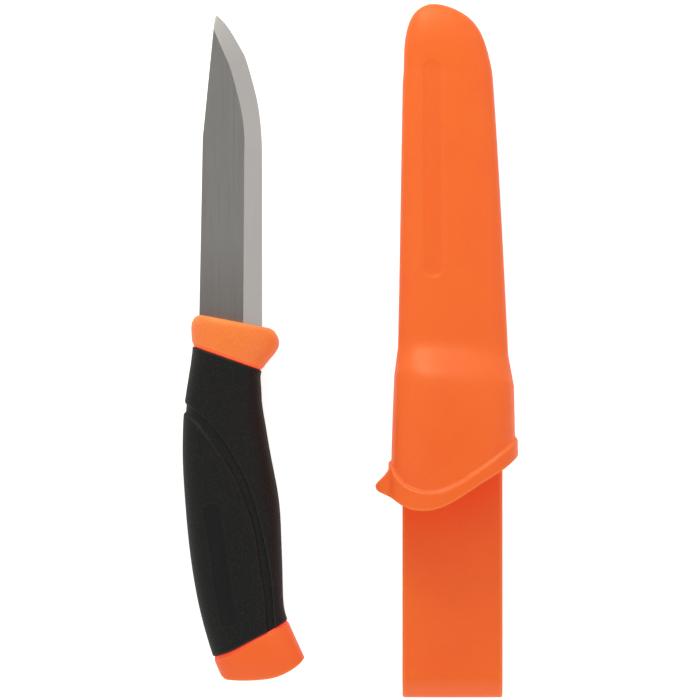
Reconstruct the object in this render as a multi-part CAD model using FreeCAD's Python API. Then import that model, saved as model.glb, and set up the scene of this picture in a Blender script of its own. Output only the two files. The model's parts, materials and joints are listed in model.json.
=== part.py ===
import FreeCAD, Part

import math
import os

# A fixed-blade rigging knife lying beside its moulded belt sheath. Millimetres.
# Row frame: +Y from butt to tip, +Z up from the table, origin under the middle of the whole set.

V = FreeCAD.Vector

# --- knife: thicknesses and place ---------------------------------------------------------------
BLADE_THICK = 2.5
EDGE_THICK = 0.16
HANDLE_SQUARENESS = 2.35     # 2 is an ellipse, higher is squarer
SKIN = 3.1                   # grip overmould thickness over the core
CHANNEL_DEPTH = 0.7
SEAM_DEPTH = 0.35
SEAM_WIDTH = 1.2
KNIFE_X = -39.18             # place of the knife's own origin, at the blade's middle in the guard
KNIFE_Y = 9.645
KNIFE_Z = 11.22

# --- sheath: thicknesses and place --------------------------------------------------------------
WALL = 1.8
STRAP_THICK = 3.0
STRAP_WIDTH = 32.8
STRAP_TOP_Y = -20.0          # the strap starts here, inside the cup's back
STRAP_EDGE_R = 0.9
BELT_GAP = 8.0               # space between strap and clip leg
BEND_Y = -105.2              # centre of the fold in the sheath's own frame
LEG_END_Y = -50.0
LEG_NOSE = 1.5               # chamfer at the back of the leg's free end
LEG_LEAD = 0.4               # lead-in at the front of the leg's free end
LEG_TAPER = [(0.0, BEND_Y + 8.0), (2.5, LEG_END_Y - 4.0), (6.5, LEG_END_Y)]  # (in from the strap's side, y)
BARB_GAP = 3.2
BARB_FROM_END = 9.0
BARB_LAND = 2.5
BARB_SLOPE = 1.2
DRAIN_R = 1.6
DRAIN_LONG = 12.0
DRAIN_START = (-6.0, 106.0, 14.8)    # inside the hollow's tip
COLLAR_PROUD = 0.9
CUP_FRONT = 29.0             # outer front of the handle cup above the strap's back
CUP_LIP = 0.6                # the cup's first ring stands this much lower
CUP_BACK = 0.5
CUP_FLOOR = 3.6              # inner back face of the cup, above the strap's front face
SHEATH_SQUARENESS = 3.2
TILT = 7.15                  # the sheath rests on its tip and on the clip leg's end, in degrees
MOUTH_LEAN = 9.6             # the mouth is cut back towards the strap by this angle, in degrees
SHEATH_X = 33.47
SHEATH_Y = -1.785
SHEATH_Z = 4.504             # brings the lowest edge down to the table
BIG = 60.0                   # reaches past the handle or the sheath, for cutting shapes
TINY = 0.01
RING_POINTS = 28

# --- blade outline: spine, cutting edge and the line where the bevel starts ---------------------
HEEL_V = -5.0                # the full-width blade ends this deep inside the guard
SPINE_HEEL = (-10.4, HEEL_V)
SPINE_KINK = (-9.16, 59.9)
BEVEL_TIP = (-5.65, 95.6)
SPINE_TIP = (-5.2, 99.9)
EDGE_NOSE = [(-4.7, 100.1), (-3.9, 99.6), (-2.6, 98.35), (-0.1, 95.1), (2.0, 91.6)]
EDGE_CORNER = (4.5, 87.2)
EDGE_BELLY = [(5.3, 84.9), (7.1, 78.7), (8.7, 72.2), (9.7, 65.6)]
EDGE_STRAIGHT = (10.31, 55.0)
EDGE_HEEL = (10.31, HEEL_V)
BEVEL_CORNER = (-0.7, 84.4)
BEVEL_BELLY = [(0.2, 81.8), (1.7, 76.3), (3.3, 69.8), (4.2, 64.2)]
BEVEL_STRAIGHT = (4.45, 55.0)
BEVEL_HEEL = (4.1, HEEL_V)

TANG_END = -74.0
TANG = [(-8.0, HEEL_V), (7.0, HEEL_V), (5.5, -14.0), (4.0, TANG_END + 3), (1.5, TANG_END),
        (-3.0, TANG_END), (-6.0, TANG_END + 3), (-7.5, -14.0)]
TANG_HOLE_R = 2.2
TANG_HOLE = (-1.2, TANG_END + 12)

# --- handle stations: left (u, v), right (u, v), half thickness, from guard front to butt end ---
GUARD = [
    ((-9.3, 1.9), (12.4, -2.3), 8.3),
    ((-11.6, 1.3), (14.6, -3.7), 9.9),
    ((-12.8, -0.9), (15.8, -6.1), 10.5),
    ((-12.9, -3.6), (15.6, -8.9), 10.6),
    ((-12.7, -6.2), (13.2, -12.2), 10.4),
]
GRIP = [
    ((-12.5, -8.4), (10.3, -16.2), 10.0),
    ((-12.9, -12.6), (9.95, -20.4), 9.6),
    ((-14.1, -20.3), (10.3, -26.6), 9.4),
    ((-15.25, -28.5), (11.4, -33.7), 9.7),
    ((-15.7, -37.0), (12.8, -42.0), 10.2),
    ((-15.7, -46.5), (14.6, -51.2), 10.8),
    ((-15.1, -57.0), (16.0, -60.0), 11.15),
    ((-14.0, -70.0), (16.6, -70.5), 11.2),
    ((-12.0, -85.0), (17.0, -82.0), 10.9),
    ((-8.8, -99.8), (17.3, -91.8), 10.5),
]
BUTT = [
    ((-5.8, -109.7), (18.8, -98.2), 10.3),
    ((-4.7, -112.6), (20.9, -103.0), 10.5),
    ((-3.5, -115.4), (23.4, -108.4), 10.2),
    ((-2.4, -118.2), (25.8, -113.6), 9.2),
    ((-1.3, -121.0), (28.2, -118.8), 7.6),
]
# The butt's lower end as seen from above; it trims the last stations.
BUTT_END = [(27.0, -104.5), (24.9, -108.6), (23.9, -110.8), (22.5, -112.4), (19.5, -114.6), (16.2, -116.2),
            (12.9, -117.15), (9.0, -117.6), (4.7, -117.8), (0.0, -117.65), (-1.8, -117.3), (-3.0, -116.2),
            (-4.6, -113.5), (-7.0, -108.5)]

# --- slanted seams between grip and core, and the channel that sweeps over the grip -------------
SEAM_TOP = [(-30.0, -2.1), (30.0, -23.3)]
SEAM_BUTT = [(18.6, -97.8), (12.9, -101.4), (6.4, -104.8), (-0.2, -108.2), (-5.7, -109.9), (-30.0, -117.0)]
SEAM_BUTT_START = (30.0, -92.0)
CHANNEL_OUTER = [(-17.0, -25.5), (-9.7, -30.9), (-4.1, -36.8), (1.2, -44.8), (5.1, -52.0), (7.8, -59.4),
                 (11.0, -72.3), (13.1, -83.5), (14.2, -95.9), (14.6, -104.0)]
CHANNEL_INNER = [(11.9, -104.0), (11.6, -95.9), (11.0, -89.7), (9.3, -78.2), (7.6, -68.0), (4.8, -59.3),
                 (1.4, -51.4), (-2.8, -44.5), (-8.6, -36.5), (-13.0, -31.9), (-17.5, -28.8)]

# --- sheath stations: left (x, y), right (x, y), back z, front z, from closed tip to mouth ------
BLADE_PART = [
    ((-7.6, 114.2), (-4.6, 114.2), 12.8, 16.8),
    ((-10.2, 113.15), (-0.6, 113.15), 11.2, 18.4),
    ((-12.5, 111.15), (3.5, 111.15), 9.9, 19.7),
    ((-14.1, 108.3), (6.9, 108.3), 9.1, 20.6),
    ((-15.2, 104.5), (9.4, 104.5), 8.7, 21.2),
    ((-15.9, 97.5), (11.8, 97.5), 8.5, 21.5),
    ((-16.3, 88.5), (13.3, 88.5), 8.3, 21.6),
    ((-16.9, 55.0), (15.4, 54.5), 7.9, 22.1),
    ((-17.4, 25.0), (17.0, 23.5), 7.5, 22.5),
    ((-17.9, 1.0), (18.2, -1.8), 7.2, 22.8),
]
HOLLOW_START = 3             # the hollow's own tip is this station
STRAIGHT_RUNS = 3            # runs of the blade part between its last stations, below the rounded tip
CUP = [
    ((-19.1, -8.3), (20.1, -12.0), CUP_BACK, CUP_FRONT - CUP_LIP),
    ((-19.5, -18.0), (20.3, -21.0), CUP_BACK, CUP_FRONT),
    ((-19.9, -30.0), (20.5, -32.0), CUP_BACK, CUP_FRONT),
    ((-20.4, -58.0), (20.5, -58.0), CUP_BACK, CUP_FRONT),
]
# The mouth's rim and the collar's upper edge, as their front would be seen from above.
MOUTH = [
    (-30.0, -46.4), (-24.4, -48.9), (-20.1, -50.8), (-15.9, -53.5), (-12.0, -54.6), (-8.3, -54.7),
    (-4.0, -53.7), (0.8, -51.4), (5.7, -48.2), (12.3, -43.9), (16.9, -41.0), (21.2, -37.4), (27.0, -32.4),
]
RIDGE = [
    (-30.0, -29.0), (-20.1, -40.7), (-17.2, -45.0), (-13.9, -47.3), (-8.3, -48.7), (-0.8, -47.1),
    (5.7, -43.3), (12.3, -38.7), (18.8, -33.4), (27.0, -26.4),
]
LEDGE = [(-19.0, -36.2), (-20.7, -39.2), (-23.3, -42.4), (-25.3, -44.7), (-24.5, -46.4)]
LEDGE_ROOT = [(-16.0, -51.5), (-16.0, -35.6)]
LEDGE_TIP_X = -25.5
LEDGE_RINGS_Y = (-30.2, -56.5)       # the rounding runs from above the ledge to below it
LEDGE_BACK = 5.5
LEDGE_FRONT = 25.0
LEDGE_SQUARENESS = 2.4


# --- shapes used by both ------------------------------------------------------------------------
def squircle(left, right, low, high, squareness):
    """Closed smooth ring through LEFT and RIGHT, standing on the line between them."""
    left = V(left[0], left[1], 0)
    right = V(right[0], right[1], 0)
    middle = (left + right) * 0.5 + V(0, 0, (low + high) / 2)
    across = (right - left) * 0.5
    up = V(0, 0, (high - low) / 2)
    points = []
    for i in range(RING_POINTS):
        angle = 2 * math.pi * i / RING_POINTS
        c, s = math.cos(angle), math.sin(angle)
        x = math.copysign(abs(c) ** (2 / squareness), c)
        z = math.copysign(abs(s) ** (2 / squareness), s)
        points.append(middle + across * x + up * z)
    curve = Part.BSplineCurve()
    curve.interpolate(Points=points, PeriodicFlag=True)
    return Part.Wire([curve.toShape()])


def loft(rings, ruled=False):
    return Part.makeLoft(rings, True, ruled)


def chain(rings, breaks):
    """Smooth lofts between the ring numbers in BREAKS, joined end to end."""
    runs = [loft(rings[a:b + 1]) for a, b in zip(breaks, breaks[1:])]
    return runs[0].multiFuse(runs[1:])


def moved_in(left, right, inset):
    """The two points, each moved towards the other by INSET."""
    dx, dy = right[0] - left[0], right[1] - left[1]
    size = math.hypot(dx, dy)
    dx, dy = dx / size * inset, dy / size * inset
    return (left[0] + dx, left[1] + dy), (right[0] - dx, right[1] - dy)


def spline(points, z=0.0):
    curve = Part.BSplineCurve()
    curve.interpolate([V(x, y, z) for x, y in points])
    return curve.toShape()


def line(a, b):
    return Part.LineSegment(V(*a), V(*b)).toShape()


def path(points, z=0.0):
    """Straight edges from each point to the next at height Z."""
    return [line((*a, z), (*b, z)) for a, b in zip(points, points[1:])]


def closed(points):
    return path(points + points[:1])


def upright(edges, low, high):
    """Solid between heights LOW and HIGH over the closed outline of EDGES, drawn at height 0."""
    face = Part.Face(Part.Wire(edges))
    face.translate(V(0, 0, low))
    return face.extrude(V(0, 0, high - low))


# --- knife --------------------------------------------------------------------------------------
def flat_face(points):
    return Part.Face(Part.makePolygon([V(*p) for p in points + points[:1]]))


def edge_face(low):
    """Narrow face of the cutting edge, standing on the edge LOW."""
    high = low.copy()
    high.translate(V(0, 0, EDGE_THICK))
    return Part.makeRuledSurface(low, high)


def blade_side(side):
    """Flat and bevel of one side, 1 upper or -1 lower, and the three edges of its cutting line."""
    t, e = side * BLADE_THICK / 2, side * EDGE_THICK / 2
    bevel = path([BEVEL_TIP, BEVEL_CORNER], t)
    bevel.append(spline([BEVEL_CORNER, *BEVEL_BELLY, BEVEL_STRAIGHT], t))
    bevel += path([BEVEL_STRAIGHT, BEVEL_HEEL], t)
    edge = [spline([SPINE_TIP, *EDGE_NOSE, EDGE_CORNER], e)]
    edge.append(spline([EDGE_CORNER, *EDGE_BELLY, EDGE_STRAIGHT], e))
    edge += path([EDGE_STRAIGHT, EDGE_HEEL], e)
    back = path([BEVEL_HEEL, SPINE_HEEL, SPINE_KINK, BEVEL_TIP], t)
    flat = Part.Face(Part.Wire(Part.__sortEdges__(bevel + back)))
    return [flat] + [Part.makeRuledSurface(a, b) for a, b in zip(bevel, edge)], edge


def blade_steel():
    """Flat-ground blank with one wide bevel on each side, sewn from its faces."""
    t, e = BLADE_THICK / 2, EDGE_THICK / 2
    upper, _ = blade_side(1)
    lower, lower_edge = blade_side(-1)
    rims = [
        [(*SPINE_HEEL, t), (*SPINE_KINK, t), (*SPINE_KINK, -t), (*SPINE_HEEL, -t)],
        [(*SPINE_KINK, t), (*BEVEL_TIP, t), (*BEVEL_TIP, -t), (*SPINE_KINK, -t)],
        [(*BEVEL_TIP, t), (*SPINE_TIP, e), (*SPINE_TIP, -e), (*BEVEL_TIP, -t)],
        [(*SPINE_HEEL, t), (*BEVEL_HEEL, t), (*EDGE_HEEL, e), (*EDGE_HEEL, -e), (*BEVEL_HEEL, -t),
         (*SPINE_HEEL, -t)],
    ]
    shell = Part.Shell(upper + lower + [edge_face(low) for low in lower_edge] + [flat_face(r) for r in rims])
    shell.sewShape()
    steel = Part.Solid(shell)
    steel.fixTolerance(1e-4)
    if steel.Volume < 0:
        steel.reverse()
    return steel


def blade_with_tang():
    tang = upright(closed(TANG), -BLADE_THICK / 2, BLADE_THICK / 2)
    hole = Part.makeCylinder(TANG_HOLE_R, 4 * BLADE_THICK, V(*TANG_HOLE, -2 * BLADE_THICK))
    return blade_steel().fuse(tang.cut(hole)).removeSplitter()


def handle_loft(stations, inset):
    rings = []
    for left, right, half in stations:
        left, right = moved_in(left, right, inset)
        rings.append(squircle(left, right, inset - half, half - inset, HANDLE_SQUARENESS))
    return loft(rings)


def butt_trim():
    """Everything above the butt's lower end, as an upright shape."""
    right, left = BUTT_END[0], BUTT_END[-1]
    corners = [left, (-BIG, left[1]), (-BIG, BIG), (BIG, BIG), (BIG, right[1]), right]
    return upright([spline(BUTT_END)] + path(corners), -BIG / 2, BIG / 2)


def grip_zone(extra):
    """Everything between the two slanted seams, each moved outwards by EXTRA."""
    butt = [(x, y - extra) for x, y in SEAM_BUTT]
    start = (SEAM_BUTT_START[0], SEAM_BUTT_START[1] - extra)
    top_left, top_right = [(x, y + extra) for x, y in SEAM_TOP]
    edges = path([butt[-1], top_left, top_right, start, butt[0]])
    return upright(edges + [spline(butt)], -BIG / 2, BIG / 2)


def channel():
    """Upright shape whose sides are the channel's."""
    edges = [spline(CHANNEL_OUTER)] + path([CHANNEL_OUTER[-1], CHANNEL_INNER[0]])
    edges += [spline(CHANNEL_INNER)] + path([CHANNEL_INNER[-1], CHANNEL_OUTER[0]])
    return upright(edges, -BIG / 2, BIG / 2)


def knife():
    steel = blade_with_tang()
    trim = butt_trim()
    whole = handle_loft(GUARD + GRIP + BUTT, 0).common(trim)
    inner = handle_loft(GUARD[3:] + GRIP + BUTT[:3], SKIN)
    zone = grip_zone(0)
    grip = whole.common(zone).cut(inner)
    grip = grip.cut(channel().cut(handle_loft(GUARD + GRIP + BUTT, CHANNEL_DEPTH)))
    core = whole.cut(zone.cut(inner)).cut(steel)
    core = core.cut(grip_zone(SEAM_WIDTH).cut(handle_loft(GUARD + GRIP + BUTT, SEAM_DEPTH)).cut(zone))
    pieces = {"blade_with_tang": steel, "handle_core": core, "grip_overmould": grip}
    for piece in pieces.values():
        piece.translate(V(KNIFE_X, KNIFE_Y, KNIFE_Z))
    return pieces


# --- sheath, in its own frame: back of the strap at z 0, mouth towards -y -----------------------
def leaning(edges, low, high, at):
    """As upright, but with sides that lean with the mouth and hold the drawn outline at height AT."""
    lean = math.tan(math.radians(MOUTH_LEAN))
    face = Part.Face(Part.Wire(edges))
    face.translate(V(0, (at - low) * lean, low))
    return face.extrude(V(0, (low - high) * lean, high - low))


def sheath_body(stations, inset, cup_back):
    """Closed body through STATIONS and the cup, moved inwards by INSET. The cup's back is at CUP_BACK."""

    def ring(station, back):
        left, right, low, high = station
        left, right = moved_in(left, right, inset)
        return squircle(left, right, back, high - inset, SHEATH_SQUARENESS)

    blade_rings = [ring(station, station[2] + inset) for station in stations]
    cup_rings = [ring(station, cup_back) for station in CUP]
    dome_end = len(stations) - 1 - STRAIGHT_RUNS
    shoulder = loft([blade_rings[-1], cup_rings[0]], True)
    blade_part = chain(blade_rings, [0, dome_end, len(stations) - 1])
    return blade_part.multiFuse([shoulder, loft(cup_rings)])


def past(curve):
    """Everything further down than CURVE, towards the strap's end."""
    right, left = curve[-1], curve[0]
    corners = [right, (right[0], -3 * BIG), (left[0], -3 * BIG), left]
    return leaning([spline(curve)] + path(corners), -BIG, BIG, CUP_FRONT)


def collar():
    """Proud band that follows the mouth over the front and sides."""
    rings = []
    for left, right, low, high in CUP:
        left, right = moved_in(left, right, -COLLAR_PROUD)
        rings.append(squircle(left, right, low, high + COLLAR_PROUD, SHEATH_SQUARENESS))
    return loft(rings).common(past(RIDGE)).cut(past(MOUTH))


def thumb_ledge():
    """Pointed shelf beside the mouth, rounded from back to front."""
    outline = [spline(LEDGE)] + path([LEDGE[-1], *LEDGE_ROOT, LEDGE[0]])
    rings = []
    for y in LEDGE_RINGS_Y:
        ends = (LEDGE_TIP_X, y), (-LEDGE_TIP_X, y)
        rings.append(squircle(*ends, LEDGE_BACK, LEDGE_FRONT, LEDGE_SQUARENESS))
    middle = (LEDGE_BACK + LEDGE_FRONT) / 2
    return leaning(outline, LEDGE_BACK - 1, LEDGE_FRONT + 1, middle).common(loft(rings))


def strip(edges):
    """Solid strap-wide strip over a closed side profile drawn in the y-z plane."""
    face = Part.Face(Part.Wire(edges))
    face.translate(V(-STRAP_WIDTH / 2, 0, 0))
    return face.extrude(V(STRAP_WIDTH, 0, 0))


def side_path(points):
    """Straight edges through (y, z) points."""
    return [line((0, *a), (0, *b)) for a, b in zip(points, points[1:])]


def fold_arc(radius, turn):
    """Quarter turn of the fold, from the strap's side (TURN 1) or the leg's side (-1) to its middle."""
    middle = -BELT_GAP / 2
    c = math.sqrt(0.5)
    ends = (BEND_Y, middle + turn * radius), (BEND_Y - radius, middle)
    halfway = (BEND_Y - radius * c, middle + turn * radius * c)
    return Part.Arc(V(0, *ends[0]), V(0, *halfway), V(0, *ends[1])).toShape()


def rounded(body, radius):
    """Rounds the long edges that run along the strip's two sides."""
    half = STRAP_WIDTH / 2 - TINY
    edges = [e for e in body.Edges if abs(e.BoundBox.XMin) > half and e.BoundBox.XLength < TINY]
    edges = [e for e in edges if e.Length > STRAP_THICK + 10 * TINY]
    return body.makeFillet(radius, edges)


def strap():
    """Strap with the front half of the fold."""
    inner, outer = BELT_GAP / 2, BELT_GAP / 2 + STRAP_THICK
    edges = [fold_arc(inner, 1), fold_arc(outer, 1)]
    edges += side_path([(BEND_Y - inner, -inner), (BEND_Y - outer, -inner)])
    edges += side_path([(BEND_Y, STRAP_THICK), (STRAP_TOP_Y, STRAP_THICK), (STRAP_TOP_Y, 0), (BEND_Y, 0)])
    return rounded(strip(Part.__sortEdges__(edges)), STRAP_EDGE_R)


def clip_leg():
    """Sprung leg with the back half of the fold and a barb that keeps a belt in."""
    inner, outer = BELT_GAP / 2, BELT_GAP / 2 + STRAP_THICK
    front, back = -BELT_GAP, -BELT_GAP - STRAP_THICK
    barb_y = LEG_END_Y - BARB_FROM_END
    outline = [
        (BEND_Y, back), (LEG_END_Y - LEG_NOSE, back), (LEG_END_Y, back + LEG_NOSE),
        (LEG_END_Y, front - LEG_LEAD), (barb_y + BARB_LAND, -BARB_GAP), (barb_y, -BARB_GAP),
        (barb_y - BARB_SLOPE, front), (BEND_Y, front),
    ]
    edges = side_path(outline) + [fold_arc(inner, -1), fold_arc(outer, -1)]
    edges += side_path([(BEND_Y - inner, -inner), (BEND_Y - outer, -inner)])
    leg = strip(Part.__sortEdges__(edges))
    half = STRAP_WIDTH / 2
    taper = [(half + 1, LEG_TAPER[0][1])] + [(half - x, y) for x, y in LEG_TAPER]
    taper += [(taper[-1][0], LEG_END_Y + 1), (half + 1, LEG_END_Y + 1)]
    for side in (-1, 1):
        leg = leg.cut(upright(closed([(side * x, y) for x, y in taper]), -BIG / 3, 0))
    return leg


def sheath_shell():
    hollow = sheath_body(BLADE_PART[HOLLOW_START:], WALL, CUP_FLOOR)
    body = sheath_body(BLADE_PART, 0, CUP_BACK).cut(past(MOUTH))
    body = body.fuse(strap()).cut(hollow)
    body = body.fuse(collar().cut(hollow))
    body = body.fuse(thumb_ledge().cut(past(MOUTH)).cut(hollow))
    return body.cut(Part.makeCylinder(DRAIN_R, DRAIN_LONG, V(*DRAIN_START), V(0, 1, 0)))


def on_table(body):
    """Tips the sheath on to its own tip and clip, beside the knife."""
    body.rotate(V(0, 0, 0), V(1, 0, 0), -TILT)
    body.translate(V(SHEATH_X, SHEATH_Y, SHEATH_Z))
    return body


os.makedirs("parts", exist_ok=True)
nodes = knife()
nodes["sheath_shell"] = on_table(sheath_shell())
nodes["clip_leg"] = on_table(clip_leg())
for name, body in nodes.items():
    body.exportStep(f"parts/{name}.step")
    box = body.BoundBox
    print(name, body.isValid(), len(body.Solids), round(body.Volume), "mm3",
          [round(v, 2) for v in (box.XMin, box.YMin, box.ZMin, box.XMax, box.YMax, box.ZMax)])
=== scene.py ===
import json
import math

import bmesh
import bpy
import numpy as np
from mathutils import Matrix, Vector
from mathutils.kdtree import KDTree


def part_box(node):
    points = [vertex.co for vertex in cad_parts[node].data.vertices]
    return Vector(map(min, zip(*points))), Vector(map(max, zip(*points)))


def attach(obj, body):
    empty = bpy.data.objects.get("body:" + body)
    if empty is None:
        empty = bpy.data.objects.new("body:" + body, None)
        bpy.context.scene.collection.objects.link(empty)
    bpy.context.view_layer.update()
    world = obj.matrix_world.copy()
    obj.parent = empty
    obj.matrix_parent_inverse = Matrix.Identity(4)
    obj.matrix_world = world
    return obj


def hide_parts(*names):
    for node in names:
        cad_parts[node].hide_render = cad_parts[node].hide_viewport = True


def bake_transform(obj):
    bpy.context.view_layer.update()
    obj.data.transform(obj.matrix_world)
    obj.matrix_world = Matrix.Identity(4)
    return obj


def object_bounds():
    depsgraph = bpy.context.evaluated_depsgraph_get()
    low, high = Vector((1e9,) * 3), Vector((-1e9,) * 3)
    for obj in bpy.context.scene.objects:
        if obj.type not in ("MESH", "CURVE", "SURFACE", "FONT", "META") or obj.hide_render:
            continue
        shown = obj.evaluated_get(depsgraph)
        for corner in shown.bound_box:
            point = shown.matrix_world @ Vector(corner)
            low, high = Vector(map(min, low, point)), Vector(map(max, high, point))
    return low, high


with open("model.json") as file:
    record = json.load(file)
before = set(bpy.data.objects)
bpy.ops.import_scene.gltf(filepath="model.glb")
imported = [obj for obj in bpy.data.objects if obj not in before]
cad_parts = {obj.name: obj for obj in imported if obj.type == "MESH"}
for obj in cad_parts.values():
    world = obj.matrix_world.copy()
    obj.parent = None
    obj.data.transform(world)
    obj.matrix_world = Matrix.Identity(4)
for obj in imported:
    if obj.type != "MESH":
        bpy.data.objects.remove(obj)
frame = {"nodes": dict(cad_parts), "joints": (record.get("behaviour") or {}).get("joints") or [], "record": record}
cad_box = [list(corner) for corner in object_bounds()]
record = frame["record"]

# Fineness of the moulded pieces, and how far their edges are softened.
HANDLE_VOXEL = 0.00036
SHEATH_VOXEL = 0.00050
SOFT_ROUNDS = 2
MOST_TRIANGLES = 180000
WELD = 2e-6

# The rounded rim of the butt, as a height above its lower end.
BUTT_RIM = (0.002, 0.005)
BUTT_ROUNDS = 50

# The sheath's soft shoulder: where it fades in and out, as shares of the sheath's length.
SHOULDER_IN = (0.39, 0.43)
SHOULDER_OUT = (0.51, 0.55)
SHOULDER_ROUNDS = 260

# Blade.
SPINE_ROUND = 0.00018
SHARP_FROM = math.radians(4)
ROUND_FROM = math.radians(50)
BEVEL_TILTS = (math.radians(5), math.radians(60))
# The painted reflection of the handle on the blade's flat: how long its fade is, and how far beyond the grip it
# stays full.
HEEL_SHADE_LONG = 0.024
HEEL_SHADE_FROM = 0.010

# The sunk band of hard plastic beside each seam of the grip, which is given a redder painted shade.
SHADED_BAND_WIDE = 0.0013
SHADED_BAND_STEP = 0.00025

# Plain recesses that stand where the real object carries its markings, placed by shares of the piece's box.
SHEATH_LABEL_AT = (0.405, 0.762, 0.20)
SHEATH_LABEL_LONG = 0.0715
SHEATH_LABEL_WIDE = 0.0068
SHEATH_LABEL_DEEP = 0.00028
GRIP_LABEL_AT = (0.36, 0.296, 0.5)
GRIP_LABEL_LONG = 0.0420
GRIP_LABEL_WIDE = 0.0062
GRIP_LABEL_DEEP = 0.00030
GRIP_LABEL_LEAN = math.radians(8.5)
LABEL_SOFT_EDGE = 0.0007

# The clip's fold, given from its hinge, along and across the sheath.
FOLD_NEAR = (0.0032, 0.0)
FOLD_FAR = (0.0552, 0.0024)

# Camera: straight above, far away, so that the view is nearly parallel.
CAMERA_HIGH = 10.0
FIELD_WIDE = 0.2291
SENSOR_MM = 36.0
VIEW_OFFSET = (-0.00008, 0.000145)

# The tent: brightness against the height of the direction, and how that changes along Y and X.
TENT_STOPS = ((0.0, 1.10), (0.55, 1.16), (0.86, 1.26), (0.925, 1.12), (0.972, 0.46), (1.0, 0.36))
TENT_GAIN = 0.68
TENT_ENDS = 0.66
TENT_UPPER_END = -0.14
TENT_RIGHT = 0.05

# The soft box and the floor.
BOX_PLACE = (-0.11, 0.47, 0.24)
BOX_SIZE = (0.20, 0.36)
BOX_WATTS = 1.30
BOX_COLOUR = (1.0, 0.92, 0.60)
FLOOR_HALF = 6.0
FLOOR_GLOW = 0.6


# ---------------------------------------------------------------- mesh work

def copy_of(name, *nodes):
    """A new object with the meshes of these CAD nodes in it, their split vertices welded."""
    build = bmesh.new()
    for node in nodes:
        build.from_mesh(frame["nodes"][node].data)
    bmesh.ops.remove_doubles(build, verts=build.verts, dist=WELD)
    mesh = bpy.data.meshes.new(name)
    build.to_mesh(mesh)
    build.free()
    piece = bpy.data.objects.new(name, mesh)
    bpy.context.scene.collection.objects.link(piece)
    return piece


def apply_modifiers(piece):
    """Makes what the modifiers show into the piece's own mesh."""
    seen = bpy.context.evaluated_depsgraph_get()
    mesh = bpy.data.meshes.new_from_object(piece.evaluated_get(seen))
    piece.modifiers.clear()
    old = piece.data
    piece.data = mesh
    bpy.data.meshes.remove(old)
    mesh.name = piece.name


def moulded(piece, voxel):
    """Remeshes a piece evenly and relaxes it, so that its edges go soft as moulded plastic's do."""
    remesh = piece.modifiers.new("even", "REMESH")
    remesh.mode = "VOXEL"
    remesh.voxel_size = voxel
    relax = piece.modifiers.new("relax", "SMOOTH")
    relax.factor = 0.5
    relax.iterations = SOFT_ROUNDS
    apply_modifiers(piece)
    piece.data.shade_smooth()
    return piece


def thinned(piece):
    """Brings a piece under the number of triangles that its exported mesh may have."""
    triangles = sum(len(p.vertices) - 2 for p in piece.data.polygons)
    if triangles > MOST_TRIANGLES:
        fewer = piece.modifiers.new("fewer", "DECIMATE")
        fewer.ratio = MOST_TRIANGLES / triangles
        apply_modifiers(piece)
        piece.data.shade_smooth()


def ease_zone(piece, share, rounds):
    """Relaxes a piece further where share is above 0."""
    zone = piece.vertex_groups.new(name="zone")
    for i in np.nonzero(share > 0.01)[0]:
        zone.add([int(i)], float(share[i]), "REPLACE")
    relax = piece.modifiers.new("relax", "SMOOTH")
    relax.factor = 0.5
    relax.iterations = rounds
    relax.vertex_group = zone.name
    apply_modifiers(piece)
    piece.vertex_groups.clear()
    piece.data.shade_smooth()


def soft_step(value, low, high):
    """0 below low, 1 above high and smooth between, for a whole array."""
    t = np.clip((value - low) / (high - low), 0, 1)
    return t * t * (3 - 2 * t)


def points_of(piece):
    flat = np.zeros(len(piece.data.vertices) * 3)
    piece.data.vertices.foreach_get("co", flat)
    return flat.reshape(-1, 3)


def normals_of(piece):
    flat = np.zeros(len(piece.data.vertices) * 3)
    piece.data.vertices.foreach_get("normal", flat)
    return flat.reshape(-1, 3)


def mark_edges(piece):
    """Stores how sharply the surface turns at each point, per millimetre, above zero on outer edges."""
    points, normals = points_of(piece), normals_of(piece)
    ends = np.zeros(len(piece.data.edges) * 2, np.int64)
    piece.data.edges.foreach_get("vertices", ends)
    first, second = ends.reshape(-1, 2).T
    run = points[second] - points[first]
    turn = ((normals[second] - normals[first]) * run).sum(1) / np.maximum((run * run).sum(1), 1e-12)
    size = len(points)
    count = np.maximum(np.bincount(ends, minlength=size), 1)
    bend = (np.bincount(first, turn, size) + np.bincount(second, turn, size)) / count / 1000
    near = (np.bincount(first, bend[second], size) + np.bincount(second, bend[first], size)) / count
    store(piece, "edge", (bend + near) / 2)


def store(piece, name, values):
    """Keeps one number for each point of the mesh, for the materials to read."""
    mark = piece.data.attributes.get(name) or piece.data.attributes.new(name, "FLOAT", "POINT")
    mark.data.foreach_set("value", np.asarray(values, np.float32))


def distance_to(piece, other):
    """How far each point of piece is from the nearest point of other's mesh."""
    targets = points_of(other)
    tree = KDTree(len(targets))
    for i, point in enumerate(targets):
        tree.insert(point, i)
    tree.balance()
    return np.array([tree.find(point)[2] for point in points_of(piece)])


def press_label(piece, box, at, long, wide, deep, lean, up):
    """Presses a plain round-ended recess into the faces that look towards up, and marks its floor."""
    low, high = box
    centre = [a + share * (b - a) for a, b, share in zip(low, high, at)]
    points = points_of(piece)
    normals = normals_of(piece)
    across = points[:, 0] - centre[0]
    along = points[:, 1] - centre[1]
    turned_across = across * math.cos(lean) + along * math.sin(lean)
    turned_along = along * math.cos(lean) - across * math.sin(lean)
    beyond = np.maximum(np.abs(turned_along) - (long - wide) / 2, 0)
    outside = np.hypot(turned_across, beyond) - wide / 2
    share = 1 - soft_step(outside, -LABEL_SOFT_EDGE, 0)
    share *= (normals @ np.array(up)) > 0.6
    share *= points[:, 2] > centre[2]
    points -= np.outer(share * deep, up)
    piece.data.vertices.foreach_set("co", points.ravel())
    store(piece, "label", share)
    piece.data.update()


# ---------------------------------------------------------------- materials

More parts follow.
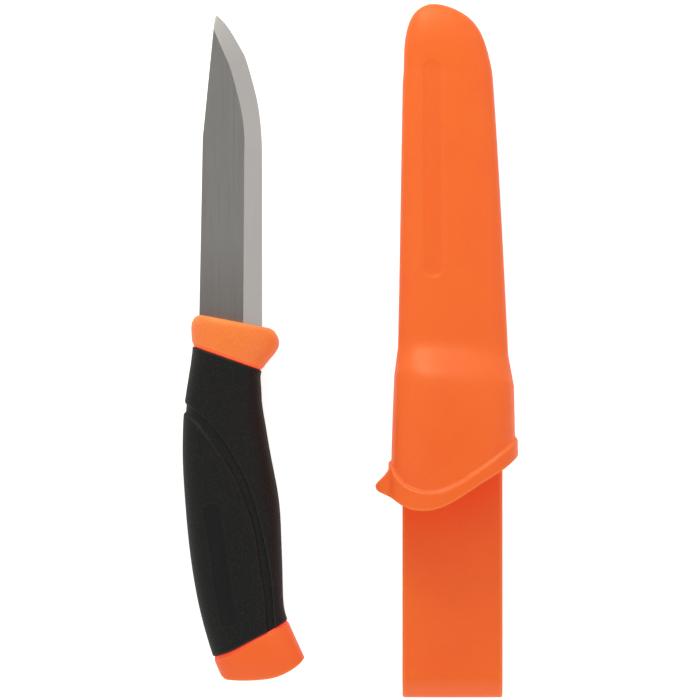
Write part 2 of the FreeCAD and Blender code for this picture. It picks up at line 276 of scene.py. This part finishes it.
class Nodes:
    """A material and short ways to add its nodes."""

    def __init__(self, name):
        self.material = bpy.data.materials.new(name)
        self.material.use_nodes = True
        self.tree = self.material.node_tree
        self.shader = self.tree.nodes["Principled BSDF"]
        self.place = self.add("ShaderNodeTexCoord").outputs["Object"]

    def add(self, kind, **settings):
        node = self.tree.nodes.new(kind)
        for name, value in settings.items():
            setattr(node, name, value)
        return node

    def join(self, source, target):
        self.tree.links.new(source, target)

    def stretched(self, x, y, z):
        """The place on the object, scaled apart along each axis."""
        node = self.add("ShaderNodeMapping")
        node.inputs["Scale"].default_value = (x, y, z)
        self.join(self.place, node.inputs["Vector"])
        return node.outputs["Vector"]

    def noise(self, size, detail=2.0, vector=None):
        """Noise whose lumps are about size metres across."""
        node = self.add("ShaderNodeTexNoise")
        node.inputs["Scale"].default_value = 1 / size
        node.inputs["Detail"].default_value = detail
        self.join(vector or self.place, node.inputs["Vector"])
        return node.outputs["Fac"]

    def cells(self, size):
        node = self.add("ShaderNodeTexVoronoi")
        node.inputs["Scale"].default_value = 1 / size
        self.join(self.place, node.inputs["Vector"])
        return node.outputs["Distance"]

    def spread(self, value, low, high, to_low=0.0, to_high=1.0):
        """Maps a value from low..high to to_low..to_high."""
        node = self.add("ShaderNodeMapRange")
        for name, number in zip(("From Min", "From Max", "To Min", "To Max"), (low, high, to_low, to_high)):
            node.inputs[name].default_value = number
        self.join(value, node.inputs["Value"])
        return node.outputs["Result"]

    def combined(self, first, second, kind="ADD"):
        node = self.add("ShaderNodeMath", operation=kind)
        self.join(first, node.inputs[0])
        self.join(second, node.inputs[1])
        return node.outputs[0]

    def colours(self, share, first, second):
        """A colour between first and second; either may be a node's output."""
        node = self.add("ShaderNodeMix", data_type="RGBA")
        self.join(share, node.inputs["Factor"])
        for end, colour in (("A", first), ("B", second)):
            socket = next(s for s in node.inputs if s.name == end and s.type == "RGBA")
            if isinstance(colour, tuple):
                socket.default_value = (*colour, 1.0)
            else:
                self.join(colour, socket)
        return next(s for s in node.outputs if s.type == "RGBA")

    def attribute(self, name):
        node = self.add("ShaderNodeAttribute", attribute_name=name)
        return node.outputs["Fac"]

    def bump(self, height, deep):
        node = self.add("ShaderNodeBump")
        node.inputs["Distance"].default_value = deep
        self.join(height, node.inputs["Height"])
        self.join(node.outputs["Normal"], self.shader.inputs["Normal"])


def painted_glow_and_gloss(n):
    """Paints a faint red glow into the orange plastic, which keeps its red up where it lies in shade, and sets its
    gloss.
    """
    n.shader.inputs["Emission Color"].default_value = (1.0, 0.0, 0.04, 1.0)
    n.shader.inputs["Emission Strength"].default_value = 0.34
    n.shader.inputs["Specular IOR Level"].default_value = 0.30


def sheath_plastic():
    """Signal-orange plastic with its mould's faint grain and a random mottle; a painted highlight on outer edges,
    painted shade in corners and on the label recess floor.
    """
    n = Nodes("sheath_orange")
    # The second colour is a darker tone for the random mottle and for painted shade; the third is a painted
    # highlight colour.
    colour, deep, painted_highlight = (0.500, 0.132, 0.002), (0.470, 0.102, 0.002), (0.530, 0.205, 0.012)
    clouds = n.noise(0.018, 3.0)
    fine = n.noise(0.0011, 3.0)
    shade = n.combined(n.spread(clouds, 0.35, 0.65, 0.0, 0.30), n.spread(fine, 0.35, 0.65, 0.0, 0.20))
    edge = n.attribute("edge")
    # Darker at random through the mottle, and painted shade where the surface turns inward.
    body = n.colours(n.combined(shade, n.spread(edge, -0.15, -0.70, 0.0, 0.8)), colour, deep)
    # Painted highlight on outer edges.
    body = n.colours(n.spread(edge, 0.15, 0.7, 0.0, 0.7), body, painted_highlight)
    # Painted shade on the floor of the label recess.
    label = n.spread(n.attribute("label"), 0.0, 1.0, 0.0, 0.35)
    n.join(n.colours(label, body, deep), n.shader.inputs["Base Color"])
    n.join(n.spread(n.noise(0.004, 4.0), 0.3, 0.7, 0.34, 0.42), n.shader.inputs["Roughness"])
    n.bump(n.noise(0.00055, 2.0), 0.00002)
    # Painted red glow that lifts the red in the shade, and the gloss.
    painted_glow_and_gloss(n)
    return n.material


def core_plastic(butt_end, guard_end):
    """The handle's hard orange, with painted light: lighter and yellower towards the guard, where more light
    falls, with grain specks there as painted glints, a painted highlight on outer edges, and a redder painted
    shade in the bands beside the grip.
    """
    n = Nodes("handle_orange")
    split = n.add("ShaderNodeSeparateXYZ")
    n.join(n.place, split.inputs[0])
    # Painted light: a share that grows towards the guard, where more light falls.
    lit_towards_guard = n.spread(split.outputs["Y"], butt_end, guard_end)
    fine = n.noise(0.00055, 3.0)
    # Grain specks at the guard, made lighter as painted glints.
    grain_glints = n.combined(n.spread(fine, 0.50, 0.75, 0.0, 0.6), lit_towards_guard, "MULTIPLY")
    # Painted light: the body colour lighter and yellower towards the guard.
    colour = n.colours(lit_towards_guard, (0.515, 0.122, 0.002), (0.515, 0.186, 0.020))
    # A painted highlight colour, also yellower towards the guard.
    painted_highlight = n.colours(lit_towards_guard, (0.535, 0.180, 0.014), (0.550, 0.290, 0.054))
    edge = n.attribute("edge")
    body = n.colours(grain_glints, colour, painted_highlight)
    # Painted highlight on outer edges.
    body = n.colours(n.spread(edge, 0.12, 0.50, 0.0, 0.8), body, painted_highlight)
    # Redder painted shade, with painted red bounce light, in the bands beside the grip.
    shaded_band = n.colours(lit_towards_guard, (0.560, 0.088, 0.006), (0.700, 0.150, 0.014))
    n.join(n.colours(n.attribute("shaded_band"), body, shaded_band), n.shader.inputs["Base Color"])
    n.join(n.spread(n.noise(0.004, 4.0), 0.3, 0.7, 0.36, 0.46), n.shader.inputs["Roughness"])
    n.bump(fine, 0.00006)
    # Painted red glow that lifts the red in the shade, and the gloss.
    painted_glow_and_gloss(n)
    return n.material


def grip_rubber():
    """Black soft-touch rubber: a fine spark-eroded grain, a painted highlight on outer edges and painted shade in
    its hollows, smooth on the label.
    """
    n = Nodes("grip_black")
    grain = n.noise(0.00050, 3.0)
    pits = n.cells(0.00075)
    label = n.attribute("label")
    edge = n.attribute("edge")
    speck = n.spread(grain, 0.52, 0.72, 0.0, 1.0)
    plain = n.colours(speck, (0.0007, 0.0006, 0.0005), (0.0150, 0.0136, 0.0126))
    # Painted highlight on outer edges.
    plain = n.colours(n.spread(edge, 0.20, 0.80, 0.0, 0.8), plain, (0.0150, 0.0140, 0.0130))
    # Painted shade in the hollows.
    plain = n.colours(n.spread(edge, -0.10, -0.45), plain, (0.0004, 0.0004, 0.0004))
    n.join(n.colours(label, plain, (0.0003, 0.0003, 0.0003)), n.shader.inputs["Base Color"])
    rough = n.spread(grain, 0.3, 0.7, 0.50, 0.62)
    n.join(n.combined(rough, n.spread(label, 0.0, 1.0, 0.0, 0.12), "SUBTRACT"), n.shader.inputs["Roughness"])
    height = n.combined(grain, n.spread(pits, 0.0, 0.6, 0.0, 0.5))
    n.bump(height, 0.00011)
    n.shader.inputs["Specular IOR Level"].default_value = 0.25
    return n.material


def ground_steel(heel_line, heel):
    """Satin stainless steel: faint lines along the flat and across the ground bevel, with a painted reflection of
    the handle darkening the flat at the heel and a darker painted stripe beside the bevel line there.
    """
    n = Nodes("blade_steel")
    bevel = n.attribute("bevel")
    along = n.noise(0.00045, 2.0, n.stretched(1.0, 0.015, 1.0))
    across = n.noise(0.00030, 2.0, n.stretched(0.04, 1.0, 1.0))
    clouds = n.noise(0.010, 2.0)
    lines = n.colours(bevel, along, across)
    flat = n.colours(n.spread(clouds, 0.3, 0.7), (0.520, 0.502, 0.478), (0.500, 0.482, 0.458))
    split = n.add("ShaderNodeSeparateXYZ")
    n.join(n.place, split.inputs[0])
    # Painted reflection of the handle, full near the heel and fading along the flat.
    heel_reflection = n.spread(split.outputs["Y"], heel + HEEL_SHADE_LONG, heel, 0.0, 1.0)
    flat = n.colours(n.spread(heel_reflection, 0.0, 1.0, 0.0, 0.55), flat, (0.330, 0.300, 0.275))
    # A darker painted reflection in a stripe beside the bevel line at the heel.
    reflection_stripe = n.spread(split.outputs["X"], heel_line - 0.0012, heel_line, 0.0, 0.85)
    flat = n.colours(n.combined(reflection_stripe, heel_reflection, "MULTIPLY"), flat, (0.150, 0.135, 0.130))
    n.join(n.colours(bevel, flat, (0.585, 0.562, 0.535)), n.shader.inputs["Base Color"])
    n.join(n.spread(lines, 0.3, 0.7, 0.27, 0.30), n.shader.inputs["Roughness"])
    n.bump(lines, 0.0000002)
    n.shader.inputs["Metallic"].default_value = 1.0
    return n.material


def floor_paper():
    """White paper, overexposed to the camera as a studio sweep is, but not to the things on it."""
    n = Nodes("floor_paper")
    n.join(n.colours(n.noise(0.4), (0.88, 0.88, 0.88), (0.90, 0.90, 0.90)), n.shader.inputs["Base Color"])
    n.shader.inputs["Roughness"].default_value = 0.9
    n.shader.inputs["Emission Color"].default_value = (1.0, 1.0, 1.0, 1.0)
    seen = n.add("ShaderNodeLightPath").outputs["Is Camera Ray"]
    n.join(n.spread(seen, 0.0, 1.0, 0.0, FLOOR_GLOW), n.shader.inputs["Emission Strength"])
    return n.material


# ---------------------------------------------------------------- the pieces

def make_blade():
    """The blade with its tang: crisp bevels, and the spine's two edges just broken."""
    piece = copy_of("blade", "blade_with_tang")
    piece.data.set_sharp_from_angle(angle=SHARP_FROM)
    piece.data.shade_smooth()
    ease = piece.modifiers.new("ease", "BEVEL")
    ease.width = SPINE_ROUND
    ease.segments = 2
    ease.limit_method = "ANGLE"
    ease.angle_limit = ROUND_FROM
    apply_modifiers(piece)
    tilts = [math.acos(min(1.0, abs(face.normal.z))) for face in piece.data.polygons]
    zone = piece.data.attributes.new("bevel", "FLOAT", "FACE")
    zone.data.foreach_set("value", [float(BEVEL_TILTS[0] < tilt < BEVEL_TILTS[1]) for tilt in tilts])
    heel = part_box("grip_overmould")[1].y
    points = points_of(piece)
    flat_top = points[points[:, 2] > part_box("blade_with_tang")[1].z - 1e-5]
    low_flat = flat_top[(flat_top[:, 1] > heel) & (flat_top[:, 1] < heel + 2 * HEEL_SHADE_LONG)]
    piece.data.materials.append(ground_steel(low_flat[:, 0].max(), heel + HEEL_SHADE_FROM))
    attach(piece, "knife")
    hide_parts("blade_with_tang")


def make_grip():
    """The black grip over the core, with its channels and a plain recess where the markings are."""
    piece = moulded(copy_of("grip_moulding", "grip_overmould"), HANDLE_VOXEL)
    press_label(
        piece,
        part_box("grip_overmould"),
        GRIP_LABEL_AT,
        GRIP_LABEL_LONG,
        GRIP_LABEL_WIDE,
        GRIP_LABEL_DEEP,
        GRIP_LABEL_LEAN,
        (0.0, 0.0, 1.0),
    )
    mark_edges(piece)
    thinned(piece)
    piece.data.materials.append(grip_rubber())
    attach(piece, "knife")
    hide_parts("grip_overmould")
    return piece


def make_core(grip):
    """The hard orange part of the handle: guard, hidden core and butt."""
    piece = moulded(copy_of("handle_core_moulding", "handle_core"), HANDLE_VOXEL)
    height = points_of(piece)[:, 1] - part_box("handle_core")[0].y
    not_upright = soft_step(np.abs(normals_of(piece)[:, 2]), 0.1, 0.4)
    ease_zone(piece, (1 - soft_step(height, *BUTT_RIM)) * not_upright, BUTT_ROUNDS)
    # Marks the band beside the grip, which the material paints with redder shade.
    shaded_band = 1 - soft_step(distance_to(piece, grip), SHADED_BAND_WIDE, SHADED_BAND_WIDE + SHADED_BAND_STEP)
    store(piece, "shaded_band", shaded_band)
    mark_edges(piece)
    thinned(piece)
    low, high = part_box("grip_overmould")
    piece.data.materials.append(core_plastic(low.y, high.y))
    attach(piece, "knife")
    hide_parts("handle_core")


def sheath_tilt():
    """The angle, nose down, at which the sheath lies, from the outward direction of its clip's face."""
    face = next(m for m in record["mounts"] if m["name"] == "clip_outer_face")
    return math.asin(-face["axis"][1])


def from_hinge(along, across):
    """A point in the sheath's own plane of symmetry, given from the clip's hinge."""
    hinge = Vector(next(j for j in frame["joints"] if j["name"] == "belt_clip_flex")["pos_m"])
    tilt = sheath_tilt()
    forward = Vector((0, math.cos(tilt), -math.sin(tilt)))
    outward = Vector((0, math.sin(tilt), math.cos(tilt)))
    return hinge + along * forward + across * outward


def make_sheath():
    """The sheath in one moulding with its strap and clip."""
    piece = moulded(copy_of("sheath_moulding", "sheath_shell", "clip_leg"), SHEATH_VOXEL)
    low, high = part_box("sheath_shell")
    along = (points_of(piece)[:, 1] - low.y) / (high - low).y
    shoulder = soft_step(along, *SHOULDER_IN) * (1 - soft_step(along, *SHOULDER_OUT))
    facing_up = soft_step(normals_of(piece)[:, 2], 0.45, 0.85)
    ease_zone(piece, shoulder * facing_up, SHOULDER_ROUNDS)
    tilt = sheath_tilt()
    press_label(
        piece,
        (low, high),
        SHEATH_LABEL_AT,
        SHEATH_LABEL_LONG,
        SHEATH_LABEL_WIDE,
        SHEATH_LABEL_DEEP,
        0.0,
        (0.0, math.sin(tilt), math.cos(tilt)),
    )
    mark_edges(piece)
    thinned(piece)
    piece.data.materials.append(sheath_plastic())
    near = from_hinge(*FOLD_NEAR)
    run = from_hinge(*FOLD_FAR) - near
    towards_clip = Vector((0, -run.z, run.y)).normalized()
    if towards_clip.z > 0:
        towards_clip.negate()
    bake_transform(piece)
    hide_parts("sheath_shell", "clip_leg")


# ---------------------------------------------------------------- the set

def make_floor():
    """A wide flat sheet under everything."""
    mesh = bpy.data.meshes.new("floor")
    half = FLOOR_HALF
    corners = [(-half, -half, 0), (half, -half, 0), (half, half, 0), (-half, half, 0)]
    mesh.from_pydata(corners, [], [(0, 1, 2, 3)])
    floor = bpy.data.objects.new("floor", mesh)
    mesh.materials.append(floor_paper())
    bpy.context.scene.collection.objects.link(floor)


def light_tent():
    """A white tent: dimmer round the lens straight above, brighter towards the two ends."""
    world = bpy.data.worlds.new("tent")
    world.use_nodes = True
    bpy.context.scene.world = world
    tree = world.node_tree
    background = tree.nodes["Background"]
    background.inputs["Color"].default_value = (1.0, 1.0, 1.0, 1.0)

    def math_node(kind, first, second):
        node = tree.nodes.new("ShaderNodeMath")
        node.operation = kind
        tree.links.new(first, node.inputs[0])
        if isinstance(second, float):
            node.inputs[1].default_value = second
        else:
            tree.links.new(second, node.inputs[1])
        return node.outputs[0]

    place = tree.nodes.new("ShaderNodeTexCoord")
    split = tree.nodes.new("ShaderNodeSeparateXYZ")
    tree.links.new(place.outputs["Generated"], split.inputs[0])
    height = tree.nodes.new("ShaderNodeValToRGB")
    ramp = height.color_ramp
    ramp.interpolation = "EASE"
    while len(ramp.elements) < len(TENT_STOPS):
        ramp.elements.new(0.5)
    for element, (at, level) in zip(ramp.elements, TENT_STOPS):
        element.position = at
        element.color = (level, level, level, 1.0)
    tree.links.new(split.outputs["Z"], height.inputs["Fac"])
    ends = math_node("MULTIPLY", split.outputs["Y"], split.outputs["Y"])
    ends = math_node("MULTIPLY", ends, TENT_ENDS)
    upper_end = math_node("MULTIPLY", split.outputs["Y"], TENT_UPPER_END)
    right_side = math_node("MULTIPLY", split.outputs["X"], TENT_RIGHT)
    gain = math_node("ADD", math_node("ADD", ends, upper_end), math_node("ADD", right_side, TENT_GAIN))
    strength = math_node("MULTIPLY", height.outputs["Color"], gain)
    tree.links.new(strength, background.inputs["Strength"])


def soft_box():
    """One large warm light, low beyond the tip end and a little to the knife's side."""
    light = bpy.data.lights.new("soft_box", "AREA")
    light.shape = "RECTANGLE"
    light.size, light.size_y = BOX_SIZE
    light.energy = BOX_WATTS
    light.color = BOX_COLOUR
    box = bpy.data.objects.new("soft_box", light)
    box.location = BOX_PLACE
    box.rotation_euler = (-Vector(box.location)).to_track_quat("-Z", "Y").to_euler()
    box.visible_camera = False
    bpy.context.scene.collection.objects.link(box)


def aim_camera():
    """The camera straight above the middle of the set."""
    lens = bpy.data.cameras.new("camera")
    lens.sensor_width = SENSOR_MM
    lens.lens = SENSOR_MM * CAMERA_HIGH / FIELD_WIDE
    lens.clip_start = 0.1
    lens.clip_end = 50.0
    camera = bpy.data.objects.new("camera", lens)
    low, high = (Vector(corner) for corner in cad_box)
    middle = (low + high) / 2
    camera.location = (middle.x + VIEW_OFFSET[0], middle.y + VIEW_OFFSET[1], CAMERA_HIGH + middle.z)
    bpy.context.scene.collection.objects.link(camera)
    bpy.context.scene.camera = camera


make_blade()
make_core(make_grip())
make_sheath()
make_floor()
light_tent()
soft_box()
aim_camera()
bpy.context.scene.view_settings.view_transform = "Standard"
